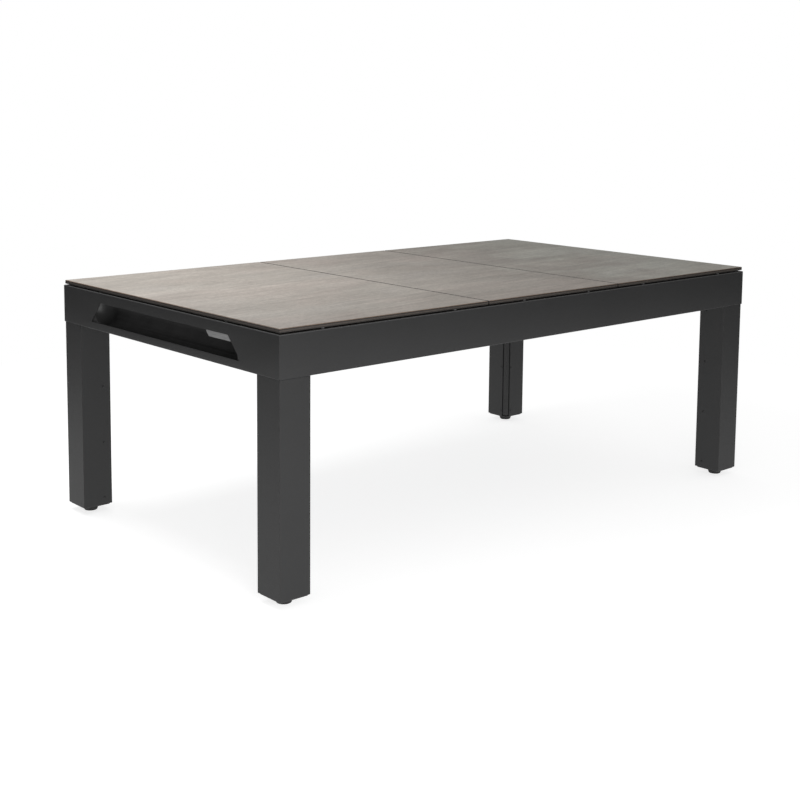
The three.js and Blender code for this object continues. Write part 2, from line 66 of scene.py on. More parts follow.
# ---------- other sizes ----------
SHEET = 3 * MM
BEND = 2.6 * MM  # outside radius of the body's folded edges
SLOT_BASE, SLOT_TOP = 669 * MM, 736 * MM
SLOT_BASE_HALF, SLOT_TOP_HALF = 423 * MM, 361 * MM
LINER_WALL = 5 * MM
LINER_RADIUS = SIDE_LINER.x
POCKET_RADIUS = LINER_RADIUS - LINER_WALL
SIDE_POCKET = (0, SIDE_LINER.y - LINER_RADIUS)
CORNER_POCKET = (CORNER_LINER.x - LINER_RADIUS, CORNER_LINER.y - LINER_RADIUS)
ROUND_SIDES = 96  # facets round a pocket or a foot
CUT_REACH = 10 * MM  # how far a cutter stands out of what it cuts


# ---------- camera, floor and light ----------
def make_camera():
    """In front of the table's left corner and above it, looking a little down."""
    data = bpy.data.cameras.new("camera")
    camera = bpy.data.objects.new("camera", data)
    bpy.context.scene.collection.objects.link(camera)
    place = Vector((-3.1623, -3.4596, 1.4118))
    yaw, pitch, roll = (math.radians(angle) for angle in (48.507, 6.642, 0.506))
    forward = Vector(
        (math.cos(yaw) * math.cos(pitch), math.sin(yaw) * math.cos(pitch), -math.sin(pitch))
    )
    level = Vector((math.sin(yaw), -math.cos(yaw), 0))
    upright = level.cross(forward)
    right = level * math.cos(roll) + upright * math.sin(roll)
    up = right.cross(forward)
    turn = Matrix((right, up, -forward)).transposed()
    camera.matrix_world = Matrix.Translation(place) @ turn.to_4x4()
    data.sensor_width = 36
    data.lens = 60.317
    data.shift_y = -0.1875
    bpy.context.scene.camera = camera


def make_floor():
    """A round pale floor that glows a little, as in a light tent, so its shadows stay faint."""
    bm = bmesh.new()
    bmesh.ops.create_circle(bm, cap_ends=True, segments=128, radius=3.0)
    mesh = bpy.data.meshes.new("studio_floor")
    bm.to_mesh(mesh)
    bm.free()
    floor = bpy.data.objects.new("studio_floor", mesh)
    bpy.context.scene.collection.objects.link(floor)
    paper = Surface(
        "studio_floor",
        roughness=0.9,
        Base_Color=(0.58, 0.58, 0.58, 1),
        Specular_IOR_Level=0.0,
        Emission_Color=(1, 1, 1, 1),
        Emission_Strength=0.76,
    )
    mesh.materials.append(paper.material)


def make_world():
    """White to the eye; as a light, a dim room that is brighter above and in front."""
    ambient = 0.12
    lobes = [((0, 0, 1), 0.40), ((0, -1, 0), 0.02)]  # direction, strength
    world = bpy.data.worlds.new("studio")
    bpy.context.scene.world = world
    world.use_nodes = True
    nodes, links = world.node_tree.nodes, world.node_tree.links
    nodes.clear()
    coordinates = nodes.new("ShaderNodeTexCoord")
    strength = None
    for axis, gain in lobes:
        along = nodes.new("ShaderNodeVectorMath")
        along.operation = "DOT_PRODUCT"
        along.inputs[1].default_value = axis
        links.new(coordinates.outputs["Generated"], along.inputs[0])
        facing = nodes.new("ShaderNodeMath")
        facing.operation = "MAXIMUM"
        facing.inputs[1].default_value = 0
        links.new(along.outputs["Value"], facing.inputs[0])
        total = nodes.new("ShaderNodeMath")
        total.operation = "MULTIPLY_ADD"
        total.inputs[1].default_value = gain
        links.new(facing.outputs[0], total.inputs[0])
        if strength:
            links.new(strength, total.inputs[2])
        else:
            total.inputs[2].default_value = ambient
        strength = total.outputs[0]
    lit = nodes.new("ShaderNodeBackground")
    links.new(strength, lit.inputs["Strength"])
    seen = nodes.new("ShaderNodeBackground")
    for background in (lit, seen):
        background.inputs["Color"].default_value = (1, 1, 1, 1)
    path = nodes.new("ShaderNodeLightPath")
    mix = nodes.new("ShaderNodeMixShader")
    out = nodes.new("ShaderNodeOutputWorld")
    links.new(path.outputs["Is Camera Ray"], mix.inputs[0])
    links.new(lit.outputs[0], mix.inputs[1])
    links.new(seen.outputs[0], mix.inputs[2])
    links.new(mix.outputs[0], out.inputs["Surface"])


def softbox(name, place, aim, size, power):
    """A rectangular lamp at a place, turned towards another; size in metres, power in watts."""
    data = bpy.data.lights.new(name, "AREA")
    data.shape = "RECTANGLE"
    data.size, data.size_y = size
    data.energy = power
    lamp = bpy.data.objects.new(name, data)
    bpy.context.scene.collection.objects.link(lamp)
    lamp.location = place
    lamp.rotation_mode = "QUATERNION"
    lamp.rotation_quaternion = (Vector(aim) - Vector(place)).to_track_quat("-Z", "Y")


def make_light():
    make_world()
    softbox("overhead_softbox", place=(-0.9, 0.5, 2.0), aim=(-0.9, 0.4, 0.7),
            size=(1.0, 1.2), power=20)
    softbox("front_softbox", place=(-1.45, -2.7, 0.62), aim=(-0.7, -0.6, 0.42),
            size=(1.6, 1.1), power=35)
    settings = bpy.context.scene.view_settings
    settings.view_transform = "Standard"
    settings.look = "None"


# ---------- materials ----------
class Surface:
    """A Principled material with short helpers for procedural patterns in object space."""

    def __init__(self, name, roughness, metallic=0.0, **sockets):
        self.material = bpy.data.materials.new(name)
        self.material.use_nodes = True
        self.nodes = self.material.node_tree.nodes
        self.links = self.material.node_tree.links
        self.shader = self.nodes["Principled BSDF"]
        self.shader.inputs["Roughness"].default_value = roughness
        self.shader.inputs["Metallic"].default_value = metallic
        for socket, value in sockets.items():
            self.shader.inputs[socket.replace("_", " ")].default_value = value

    def place(self, stretch=(1, 1, 1), turn=0.0):
        """The object's own coordinates, turned about +Z and then stretched."""
        vector = self.nodes.new("ShaderNodeTexCoord").outputs["Object"]
        if turn:
            turned_about_z = self.nodes.new("ShaderNodeMapping")
            turned_about_z.inputs["Rotation"].default_value = (0, 0, turn)
            self.links.new(vector, turned_about_z.inputs["Vector"])
            vector = turned_about_z.outputs["Vector"]
        mapping = self.nodes.new("ShaderNodeMapping")
        mapping.inputs["Scale"].default_value = stretch
        self.links.new(vector, mapping.inputs["Vector"])
        return mapping.outputs["Vector"]

    def noise(self, scale, detail=2.0, stretch=(1, 1, 1), roughness=0.5, distortion=0.0, turn=0.0):
        """Noise from 0 to 1; a stretch below 1 draws it out along that axis."""
        node = self.nodes.new("ShaderNodeTexNoise")
        node.inputs["Scale"].default_value = scale
        node.inputs["Detail"].default_value = detail
        node.inputs["Roughness"].default_value = roughness
        node.inputs["Distortion"].default_value = distortion
        self.links.new(self.place(stretch, turn), node.inputs["Vector"])
        return node.outputs["Fac"]

    def ramp(self, value, *stops):
        """A value turned into a colour by (position, colour or grey) stops."""
        node = self.nodes.new("ShaderNodeValToRGB")
        ramp = node.color_ramp
        while len(ramp.elements) < len(stops):
            ramp.elements.new(0.5)
        for element, (position, colour) in zip(ramp.elements, stops):
            element.position = position
            if not hasattr(colour, "__len__"):
                colour = (colour,) * 3
            element.color = (*colour, 1)
        self.links.new(value, node.inputs["Fac"])
        return node.outputs["Color"]

    def times(self, colour, factor, share=1.0):
        """A colour multiplied by another, which is a socket or plain; share is how fully."""
        node = self.nodes.new("ShaderNodeMix")
        node.data_type = "RGBA"
        node.blend_type = "MULTIPLY"
        node.inputs[0].default_value = share
        self.links.new(colour, node.inputs[6])
        if isinstance(factor, bpy.types.NodeSocket):
            self.links.new(factor, node.inputs[7])
        else:
            node.inputs[7].default_value = (*factor, 1)
        return node.outputs[2]

    def colour(self, value):
        self.links.new(value, self.shader.inputs["Base Color"])
        return self

    def rough(self, value):
        self.links.new(value, self.shader.inputs["Roughness"])
        return self

    def bump(self, height, distance, strength=1.0):
        node = self.nodes.new("ShaderNodeBump")
        node.inputs["Strength"].default_value = strength
        node.inputs["Distance"].default_value = distance
        self.links.new(height, node.inputs["Height"])
        self.links.new(node.outputs["Normal"], self.shader.inputs["Normal"])
        return self


def powder_coat(name, shade):
    """Fine-textured anthracite powder coat: a pebbled grain with slight shade variation."""
    s = Surface(name, roughness=0.5, Specular_IOR_Level=0.36)
    grain = s.noise(900, 3, roughness=0.6)
    mottle = s.noise(260, 2)
    cast = s.ramp(s.noise(3, 2), (0.3, shade * 0.96), (0.7, shade * 1.05))
    speck = s.ramp(grain, (0.35, 0.86), (0.65, 1.12))
    flecks = s.ramp(mottle, (0.3, 0.95), (0.7, 1.05))
    bluish = (1.0, 1.0, 1.012)
    s.colour(s.times(s.times(s.times(cast, bluish), speck), flecks))
    s.rough(s.ramp(mottle, (0.3, 0.46), (0.7, 0.56)))
    return s.bump(grain, 0.12 * MM, 0.6).material


def laminate_face():
    """Stone-look laminate: beige patches that turn to olive grey towards the right end.

    Over them run soft streaks, a few degrees off the table's length, and a fine grain.
    """
    s = Surface("laminate_face", roughness=0.42)
    base = s.ramp(
        s.noise(2.2, 4, (1, 1.8, 1), 0.6, 0.5),
        (0.30, (0.368, 0.331, 0.299)),
        (0.45, (0.416, 0.377, 0.343)),
        (0.60, (0.453, 0.412, 0.376)),
        (0.75, (0.478, 0.436, 0.398)),
    )
    hue = s.ramp(
        s.noise(1.9, 4, (0.8, 1.4, 1), 0.65, 0.7),
        (0.32, (0.98, 0.99, 0.99)),
        (0.46, (0.99, 1.00, 0.98)),
        (0.60, (1.02, 1.00, 0.98)),
        (0.72, (1.00, 0.97, 0.95)),
    )
    tone = s.times(base, hue)
    split = s.nodes.new("ShaderNodeSeparateXYZ")
    s.links.new(s.place(), split.inputs[0])
    rightwards = s.nodes.new("ShaderNodeMath")
    rightwards.operation = "MULTIPLY_ADD"
    rightwards.inputs[1].default_value = 0.5
    s.links.new(split.outputs["X"], rightwards.inputs[0])
    s.links.new(s.noise(3.0, 3, (1, 1.6, 1), 0.6, 0.4), rightwards.inputs[2])
    olive = s.ramp(rightwards.outputs[0], (0.68, (1, 1, 1)), (0.92, (1.26, 1.34, 1.33)))
    tone = s.times(tone, olive)
    turn = math.radians(-6)
    layers = [  # pattern, where its ramp starts and ends, darkest and lightest factor
        (s.noise(14, 4, (0.10, 1.6, 1), 0.6, 0.25, turn), 0.34, 0.70, 0.94, 1.035),
        (s.noise(32, 4, (0.07, 1.5, 1), 0.65, 0.15, turn), 0.36, 0.66, 0.925, 1.05),
        (s.noise(75, 5, (0.05, 1.5, 1), 0.7, 0.1, turn), 0.36, 0.64, 0.92, 1.05),
        (s.noise(170, 4, (0.045, 1.3, 1), 0.7, 0.0, turn), 0.38, 0.62, 0.88, 1.09),
        (s.noise(230, 3, (0.30, 0.9, 1), 0.7, 0.0, turn), 0.36, 0.64, 0.84, 1.13),
    ]
    for pattern, start, end, dark, light in layers:
        tone = s.times(tone, s.ramp(pattern, (start, dark), (end, light)))
    fibre = s.noise(420, 3, (0.05, 1.6, 1), 0.6, 0.0, turn)
    s.colour(s.times(tone, s.ramp(fibre, (0.25, 0.90), (0.75, 1.08)), share=0.7))
    s.rough(s.ramp(layers[2][0], (0.3, 0.38), (0.7, 0.50)))
    return s.bump(fibre, 0.05 * MM, 0.5).material


def laminate_bevel():
    """The chamfer along the top edge, where the face gives way to the brown core."""
    s = Surface("laminate_bevel", roughness=0.6)
    fleck = s.noise(260, 3, (0.3, 0.3, 1))
    s.colour(s.ramp(fleck, (0.3, (0.120, 0.076, 0.049)), (0.7, (0.185, 0.122, 0.080))))
    return s.bump(fleck, 0.05 * MM, 0.4).material


def laminate_core():
    """The panel's edge: dark pressed layers with a lighter one half way up."""
    s = Surface("laminate_core", roughness=0.55)
    split = s.nodes.new("ShaderNodeSeparateXYZ")
    s.links.new(s.place(), split.inputs[0])
    height = s.nodes.new("ShaderNodeMapRange")
    height.inputs["From Min"].default_value = PANEL_BASE
    height.inputs["From Max"].default_value = PANEL_TOP
    s.links.new(split.outputs["Z"], height.inputs["Value"])
    dark, brown, light = (0.013, 0.010, 0.009), (0.020, 0.016, 0.013), (0.056, 0.045, 0.037)
    layers = s.ramp(
        height.outputs["Result"],
        (0.0, dark), (0.28, brown), (0.38, light), (0.52, light), (0.62, brown), (0.8, dark),
    )
    fleck = s.noise(160, 3, (0.3, 0.3, 1))
    s.colour(s.times(layers, s.ramp(fleck, (0.3, 0.88), (0.7, 1.1))))
    return s.bump(fleck, 0.05 * MM, 0.4).material


def moulded_plastic(name, shade, roughness):
    """Black plastic with a fine grain and a slightly uneven gloss."""
    s = Surface(name, roughness=roughness)
    grain = s.noise(1400, 2)
    s.colour(s.ramp(s.noise(30, 2), (0.3, shade * 0.85), (0.7, shade * 1.15)))
    s.rough(s.ramp(s.noise(12, 3), (0.3, roughness * 0.85), (0.7, roughness * 1.2)))
    return s.bump(grain, 0.03 * MM, 0.5).material


def rubber(name, shade):
    """Matt grained rubber."""
    s = Surface(name, roughness=0.85)
    grain = s.noise(700, 3)
    s.colour(s.ramp(s.noise(90, 3), (0.3, shade * 0.8), (0.7, shade * 1.25)))
    return s.bump(grain, 0.1 * MM, 0.6).material


def zinc(name):
    """Galvanised or zinc-plated steel: overlapping dull spangles."""
    s = Surface(name, roughness=0.42, metallic=0.9)
    cells = s.nodes.new("ShaderNodeTexVoronoi")
    cells.inputs["Scale"].default_value = 110
    s.links.new(s.place(), cells.inputs["Vector"])
    spangle = s.ramp(cells.outputs["Distance"], (0.0, 0.42), (0.6, 0.60))
    s.colour(s.times(spangle, s.ramp(s.noise(14, 3), (0.3, 0.88), (0.7, 1.05))))
    s.rough(s.ramp(s.noise(60, 3), (0.3, 0.34), (0.7, 0.52)))
    return s.bump(s.noise(300, 2), 0.03 * MM, 0.4).material


def billiard_cloth(name):
    """Worsted cloth: a fine twill with a little nap, slightly mottled."""
    nap_green = (0.45, 0.80, 0.62, 1)
    s = Surface(name, roughness=0.95, Sheen_Weight=0.12, Sheen_Roughness=0.5,
                Sheen_Tint=nap_green, Specular_IOR_Level=0.2)
    weave = s.nodes.new("ShaderNodeTexWave")
    weave.bands_direction = "DIAGONAL"
    weave.inputs["Scale"].default_value = 420
    weave.inputs["Distortion"].default_value = 1.5
    weave.inputs["Detail"].default_value = 2
    s.links.new(s.place(), weave.inputs["Vector"])
    thread = s.ramp(weave.outputs["Fac"], (0.0, 0.82), (1.0, 1.1))
    base = s.ramp(
        s.noise(5, 4, roughness=0.6), (0.3, (0.012, 0.098, 0.062)), (0.7, (0.017, 0.125, 0.080))
    )
    fuzz = s.ramp(s.noise(1100, 3, roughness=0.7), (0.3, 0.86), (0.7, 1.12))
    s.colour(s.times(s.times(base, thread), fuzz))
    return s.bump(weave.outputs["Fac"], 0.12 * MM, 0.5).material


def honed_slate():
    """Slate with its layers just showing in its edges."""
    s = Surface("honed_slate", roughness=0.7)
    layers = s.noise(70, 5, (0.3, 0.3, 5), 0.6, 0.4)
    tone = s.ramp(layers, (0.3, (0.075, 0.082, 0.088)), (0.7, (0.135, 0.145, 0.15)))
    s.colour(s.times(tone, s.ramp(s.noise(600, 3), (0.3, 0.85), (0.7, 1.1))))
    return s.bump(layers, 0.3 * MM, 0.5).material


def stained_rail():
    """Beech stained black, with its grain just showing."""
    s = Surface("stained_rail", roughness=0.6)
    grain = s.noise(40, 5, (0.05, 1.5, 1.5), 0.6, 0.3)
    fleck = s.noise(500, 2, (0.1, 1, 1))
    tone = s.ramp(grain, (0.3, (0.012, 0.011, 0.010)), (0.7, (0.030, 0.026, 0.022)))
    s.colour(s.times(tone, s.ramp(fleck, (0.3, 0.85), (0.7, 1.1))))
    return s.bump(grain, 0.1 * MM, 0.4).material


def black_oxide():
    """Blackened steel, slightly worn and oily."""
    s = Surface("black_oxide", roughness=0.4, metallic=0.6)
    s.colour(s.ramp(s.noise(120, 3), (0.3, 0.018), (0.7, 0.040)))
    s.rough(s.ramp(s.noise(300, 3), (0.3, 0.32), (0.7, 0.5)))
    return s.bump(s.noise(800, 2), 0.02 * MM, 0.4).material


def brushed_plate():
    """Metal brushed along the table's width."""
    s = Surface("brushed_plate", roughness=0.36, metallic=0.85)
    brushing = s.noise(1500, 3, (1, 0.02, 1))
    s.colour(s.ramp(brushing, (0.3, 0.38), (0.7, 0.52)))
    s.rough(s.ramp(brushing, (0.3, 0.32), (0.7, 0.46)))
    return s.bump(brushing, 0.02 * MM, 0.5).material


# ---------- mesh helpers ----------
def rectangle(low, high):
    """The outline in (x, y) between two corners."""
    return [(low.x, low.y), (high.x, low.y), (high.x, high.y), (low.x, high.y)]


def prism(outline, low, high, axis="z"):
    """A bmesh of an outline in (x, y), (y, z) or (z, x), drawn out along the third axis."""
    turn = {"x": (2, 0, 1), "y": (1, 2, 0), "z": (0, 1, 2)}[axis]
    bm = bmesh.new()

    def ring(level):
        corners = ((a, b, level) for a, b in outline)
        return [bm.verts.new([corner[i] for i in turn]) for corner in corners]

    bottom, top = ring(low), ring(high)
    bm.faces.new(bottom[::-1])
    bm.faces.new(top)
    for i in range(len(outline)):
        j = (i + 1) % len(outline)
        bm.faces.new((bottom[i], bottom[j], top[j], top[i]))
    return bm


def stack(rings, closed=False):
    """A bmesh through rings of equally many points, capped at both ends unless closed."""
    bm = bmesh.new()
    made = [[bm.verts.new(point) for point in ring] for ring in rings]
    pairs = list(zip(made, made[1:]))
    if closed:
        pairs.append((made[-1], made[0]))
    else:
        bm.faces.new(made[0][::-1])
        bm.faces.new(made[-1])
    for a, b in pairs:
        for i in range(len(a)):
            j = (i + 1) % len(a)
            bm.faces.new((a[i], a[j], b[j], b[i]))
    return bm


def turned(profile, centre, sides=ROUND_SIDES):
    """A bmesh of a profile of (radius, height) turned about a vertical axis, capped on it."""
    x, y = centre
    rings = []
    for radius, height in profile:
        angles = (2 * math.pi * i / sides for i in range(sides))
        rings.append([(x + radius * math.cos(a), y + radius * math.sin(a), height) for a in angles])
    return stack(rings)


def pocket_cores(radius, low, high):
    """Six upright cylinders, one through each pocket."""
    x, y = SIDE_POCKET
    centres = [(x, sy * y) for _, sy in SIDES]
    x, y = CORNER_POCKET
    centres += [(sx * x, sy * y) for _, sx in ENDS for _, sy in SIDES]
    return [turned([(radius, low), (radius, high)], centre) for centre in centres]


def clean(bm):
    """Joins points that coincide, and makes each flat face whole."""
    bmesh.ops.remove_doubles(bm, verts=bm.verts, dist=0.002 * MM)
    bmesh.ops.dissolve_limit(bm, angle_limit=math.radians(0.5), verts=bm.verts, edges=bm.edges)
    return bm


def from_cad(node):
    """A copy of a CAD node's mesh."""
    bm = bmesh.new()
    bm.from_mesh(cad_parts[node].data)
    return clean(bm)


def temporary(bm):
    """An object for a modifier to work on, or with."""
    mesh = bpy.data.meshes.new("temporary")
    bm.to_mesh(mesh)
    bm.free()
    obj = bpy.data.objects.new("temporary", mesh)
    bpy.context.scene.collection.objects.link(obj)
    return obj


def carve(bm, cutters):
    """bm with each cutter taken out of it."""
    body = temporary(bm)
    tools = [temporary(cutter) for cutter in cutters]
    for tool in tools:
        modifier = body.modifiers.new("cut", "BOOLEAN")
        modifier.operation = "DIFFERENCE"
        modifier.solver = "EXACT"
        modifier.object = tool
    bpy.context.view_layer.update()
    evaluated = body.evaluated_get(bpy.context.evaluated_depsgraph_get())
    result = bmesh.new()
    result.from_mesh(evaluated.to_mesh())
    evaluated.to_mesh_clear()
    for obj in (body, *tools):
        mesh = obj.data
        bpy.data.objects.remove(obj)
        bpy.data.meshes.remove(mesh)
    return clean(result)


def merged(*parts):
    """Several bmeshes as one, each its own island."""
    bm = bmesh.new()
    for part in parts:
        mesh = bpy.data.meshes.new("temporary")
        part.to_mesh(mesh)
        part.free()
        bm.from_mesh(mesh)
        bpy.data.meshes.remove(mesh)
    return bm


def piece(name, bm, materials, body="table", replaced=(), edge=0.0, segments=2, smooth=35):
    """Turns a bmesh into a shown piece that rides on a body.

    `replaced` names the CAD nodes that it stands for, `edge` is the radius of its sharp edges,
    and `smooth` the angle up to which faces blend.
    """
    mesh = bpy.data.meshes.new(name)
    bm.to_mesh(mesh)
    bm.free()
    obj = bpy.data.objects.new(name, mesh)
    bpy.context.scene.collection.objects.link(obj)
    for material in materials if isinstance(materials, (list, tuple)) else [materials]:
        mesh.materials.append(material)
    mesh.shade_smooth()
    mesh.set_sharp_from_angle(angle=math.radians(smooth))
    if edge:
        bevel = obj.modifiers.new("edges", "BEVEL")
        bevel.width = edge
        bevel.segments = segments
        bevel.limit_method = "ANGLE"
        bevel.angle_limit = math.radians(30)
        bevel.harden_normals = True
        bevel.miter_outer = "MITER_ARC"
        bevel.use_clamp_overlap = True
    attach(obj, body)
    if replaced:
        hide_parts(*replaced)
    return obj


def rounded(corners, radius, steps=5):
    """An outline whose corners are rounded with short arcs."""
    out = []
    for i, corner in enumerate(corners):
        here = Vector(corner)
        before = (Vector(corners[i - 1]) - here).normalized()
        after = (Vector(corners[(i + 1) % len(corners)]) - here).normalized()
        half = before.angle(after) / 2
        centre = here + (before + after).normalized() * radius / math.sin(half)
        start = here + before * radius / math.tan(half) - centre
        end = here + after * radius / math.tan(half) - centre
        for step in range(steps + 1):
            out.append(centre + start.slerp(end, step / steps).normalized() * radius)
    return out


# ---------- body ----------
def body_shell(coat, painted_highlight_coat):
    """The folded steel body: a channel all round, with the slot and the pockets cut in it."""
    steps = 5
    turn = [math.pi / 2 * i / steps for i in range(steps + 1)]
    section = [  # distance in from the body's side, and height
        *[(BEND - BEND * math.sin(t), BODY_BASE + BEND - BEND * math.cos(t)) for t in turn],
        *[(BEND - BEND * math.cos(t), BODY_TOP - BEND + BEND * math.sin(t)) for t in turn],
        (RAIL_DEPTH, BODY_TOP),
        (RAIL_DEPTH, BODY_TOP - SHEET),
        (SHEET, BODY_TOP - SHEET),
        (SHEET, BODY_BASE + SHEET),
        (FLANGE_DEPTH, BODY_BASE + SHEET),
        (FLANGE_DEPTH, BODY_BASE),
    ]
    corners = ((-1, -1), (1, -1), (1, 1), (-1, 1))
    rings = [
        [(sx * (HALF_X - inset), sy * (HALF_Y - inset), z) for inset, z in section]
        for sx, sy in corners
    ]
    shell = stack(rings, closed=True)
    bmesh.ops.recalc_face_normals(shell, faces=shell.faces)
    slot_outline = rounded(
        [
            (-SLOT_BASE_HALF, SLOT_BASE),
            (SLOT_BASE_HALF, SLOT_BASE),
            (SLOT_TOP_HALF, SLOT_TOP),
            (-SLOT_TOP_HALF, SLOT_TOP),
        ],
        3 * MM,
    )
    slot_core = prism(slot_outline, -HALF_X - CUT_REACH, -HALF_X + SHEET + CUT_REACH / 2, "x")
    liner_depth, liner_gap = 40 * MM, 0.3 * MM
    liners = pocket_cores(
        LINER_RADIUS + liner_gap, BODY_TOP - liner_depth, BODY_TOP + CUT_REACH
    )
    shell = carve(shell, [slot_core, *liners])
    shell.normal_update()
    # The faces of the bend along the top edge take the second, lighter coat: a painted highlight
    # standing in for the catch-light along that edge.
    for f in shell.faces:
        near_top = BODY_TOP - f.calc_center_median().z < BEND
        leaning = 0.08 < f.normal.z < 0.995  # neither the upright side nor the flat top
        f.material_index = 1 if near_top and leaning else 0
    aprons = ["front_apron", "rear_apron", "left_end_apron", "right_end_apron"]
    piece("body_shell", shell, [coat, painted_highlight_coat], replaced=aprons,
          edge=1.3 * MM, segments=3)


def name_plate(metal):
    """The blank plate in the slot's upper corner, with a lip that reaches behind the body."""
    low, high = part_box("name_plate")
    bottom, top = low.z, high.z
    width, thickness, lip_thickness = 111 * MM, 4 * MM, 1.5 * MM
    lean = (SLOT_BASE_HALF - SLOT_TOP_HALF) / (SLOT_TOP - SLOT_BASE)
    drop = lean * (top - bottom)
    corner = -SLOT_TOP_HALF + 0.3 * MM
    outline = [
        (corner - drop, bottom),
        (corner - drop + width, bottom),
        (corner + width, top),
        (corner, top),
    ]
    face = prism(rounded(outline, 2 * MM), low.x, low.x + thickness, "x")
    hidden = [(low.y, bottom + MM), (corner, bottom + MM), (corner, top - MM), (low.y, top - MM)]
    lip = prism(hidden, high.x - lip_thickness, high.x, "x")
    piece("name_plate_blank", merged(face, lip), metal, replaced=["name_plate"],
          edge=0.4 * MM)


# ---------- dining top ----------
def panel(place, face, bevel, core):
    """A laminate panel, faced on both sides, with a chamfer all round its top edge."""
    low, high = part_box(f"{place}_panel")
    chamfer, relief = 1.7 * MM, 0.6 * MM
    at_seam = 0.5  # how much smaller both are along the seams
    left_share = 1 if place == "left" else at_seam
    right_share = 1 if place == "right" else at_seam

    def ring(inset, z):
        x0, x1 = low.x + inset * left_share, high.x - inset * right_share
        y0, y1 = low.y + inset, high.y - inset
        return [(x0, y0, z), (x1, y0, z), (x1, y1, z), (x0, y1, z)]

    levels = [(relief, low.z), (0, low.z + relief), (0, high.z - chamfer), (chamfer, high.z)]
    slab = stack([ring(inset, z) for inset, z in levels])
    slab.normal_update()
    for f in slab.faces:
        flat = abs(f.normal.z) > 0.99
        chamfered = f.normal.z > 0.3
        along_seam = abs(f.normal.x) > 0.3 and abs(f.calc_center_median().x) < HALF_X / 2
        if flat:
            f.material_index = 0
        else:
            f.material_index = 1 if chamfered and not along_seam else 2
    piece(f"{place}_top_panel", slab, [face, bevel, core],
          body=f"{place}_panel", replaced=[f"{place}_panel"], smooth=20)


def bumpers(material):
    """Small pads stuck under the panels, which hold them clear of the body."""
    radius, inset = 5 * MM, 8 * MM
    along_sides = {"left": (-0.910, -0.407), "middle": (-0.104, 0.203), "right": (0.490, 0.920)}
    along_ends = (-0.338, 0.375)
    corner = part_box("right_panel")[1]
    edge_x, edge_y = corner.x - inset, corner.y - inset
    height = PANEL_BASE - BODY_TOP
    profile = [
        (radius * 0.8, BODY_TOP + 0.1 * MM),
        (radius * 0.95, BODY_TOP + 0.6 * MM),
        (radius, BODY_TOP + 0.4 * height),
        (radius, BODY_TOP + height),
    ]
    for place, stations in along_sides.items():
        centres = [(x, sy * edge_y) for x in stations for _, sy in SIDES]
        if place != "middle":
            sx = dict(ENDS)[place]
            centres += [(sx * edge_x, y) for y in along_ends]
        pads = [turned(profile, centre, 24) for centre in centres]
        piece(f"{place}_panel_bumpers", merged(*pads), material,
              body=f"{place}_panel")


# ---------- rails, cushions and pockets ----------
def nodes_with(part):
    return [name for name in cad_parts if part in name]


def rails(wood):
    for name in nodes_with("_rail"):
        piece(f"{name}_wood", from_cad(name), wood, replaced=[name], edge=0.6 * MM)


def cushions(cloth):
    """Rubber profiles under tight cloth."""
    for name in nodes_with("_cushion"):
        made = piece(f"{name}_cloth", from_cad(name), cloth, replaced=[name],
                     edge=2.2 * MM, segments=4)


def pocket_liners(plastic):
    for name in nodes_with("_pocket_liner"):
        piece(f"{name}_moulding", from_cad(name), plastic, replaced=[name],
              edge=1.4 * MM, segments=3)


# ---------- bed ----------
def bed_layer(node):
    """A slab the size of a CAD node, with the pockets cut in it."""
    low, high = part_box(node)
    cores = pocket_cores(POCKET_RADIUS + MM, low.z - CUT_REACH, high.z + CUT_REACH)
    return carve(prism(rectangle(low, high), low.z, high.z), cores)


def bed(slate, cloth, coat):
    """Three slates side by side on steel tubes, under one stretched cloth."""
    for place in PLACES:
        name = f"{place}_slate"
        piece(f"{name}_slab", bed_layer(name), slate, replaced=[name], edge=1.0 * MM)
    made = piece("stretched_bed_cloth", bed_layer("bed_cloth"), cloth,
                 replaced=["bed_cloth"], edge=0.3 * MM)
    for name in nodes_with("_beam"):
        piece(f"{name}_tube", from_cad(name), coat, replaced=[name], edge=1.2 * MM)


# ---------- ball return ----------
def ball_return(channel_zinc, trough_plastic):
    for name in ("front_gutter", "rear_gutter", "return_lane"):
        piece(f"{name}_channel", from_cad(name), channel_zinc, replaced=[name],
              edge=0.3 * MM)
    piece("ball_trough_moulding", from_cad("ball_trough"), trough_plastic,
          replaced=["ball_trough"], edge=0.8 * MM)


def slot_baffles(plastic):
    """Flat plates that close the slot's lower corners, round the trough's dished and flat ends."""
    low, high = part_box("ball_trough")
    gap = 0.3 * MM
    back, front = -HALF_X + SHEET + 1.6 * MM, -HALF_X + SHEET + 0.1 * MM
    base, top = SLOT_BASE - 8 * MM, SLOT_BASE + 42 * MM
    end = SLOT_BASE_HALF + 8 * MM
    radius = high.x + HALF_X
    dish_y, dish_z = high.y - radius, low.z + radius
    steps, start, sweep = 8, math.radians(26), math.radians(60)
    turn = [start + sweep * i / steps for i in range(steps + 1)]
    reach = radius + gap
    arc = [(dish_y + reach * math.sin(t), dish_z - reach * math.cos(t)) for t in turn]
    dished = [(arc[0][0], base), (end, base), (end, arc[-1][1]), *arc[::-1]]
    flat_y = low.y - gap
    flat = [(-end, base), (flat_y, base), (flat_y, top), (-end, top)]
    plates = merged(prism(dished, front, back, "x"), prism(flat, front, back, "x"))
    piece("slot_corner_baffles", plates, plastic)


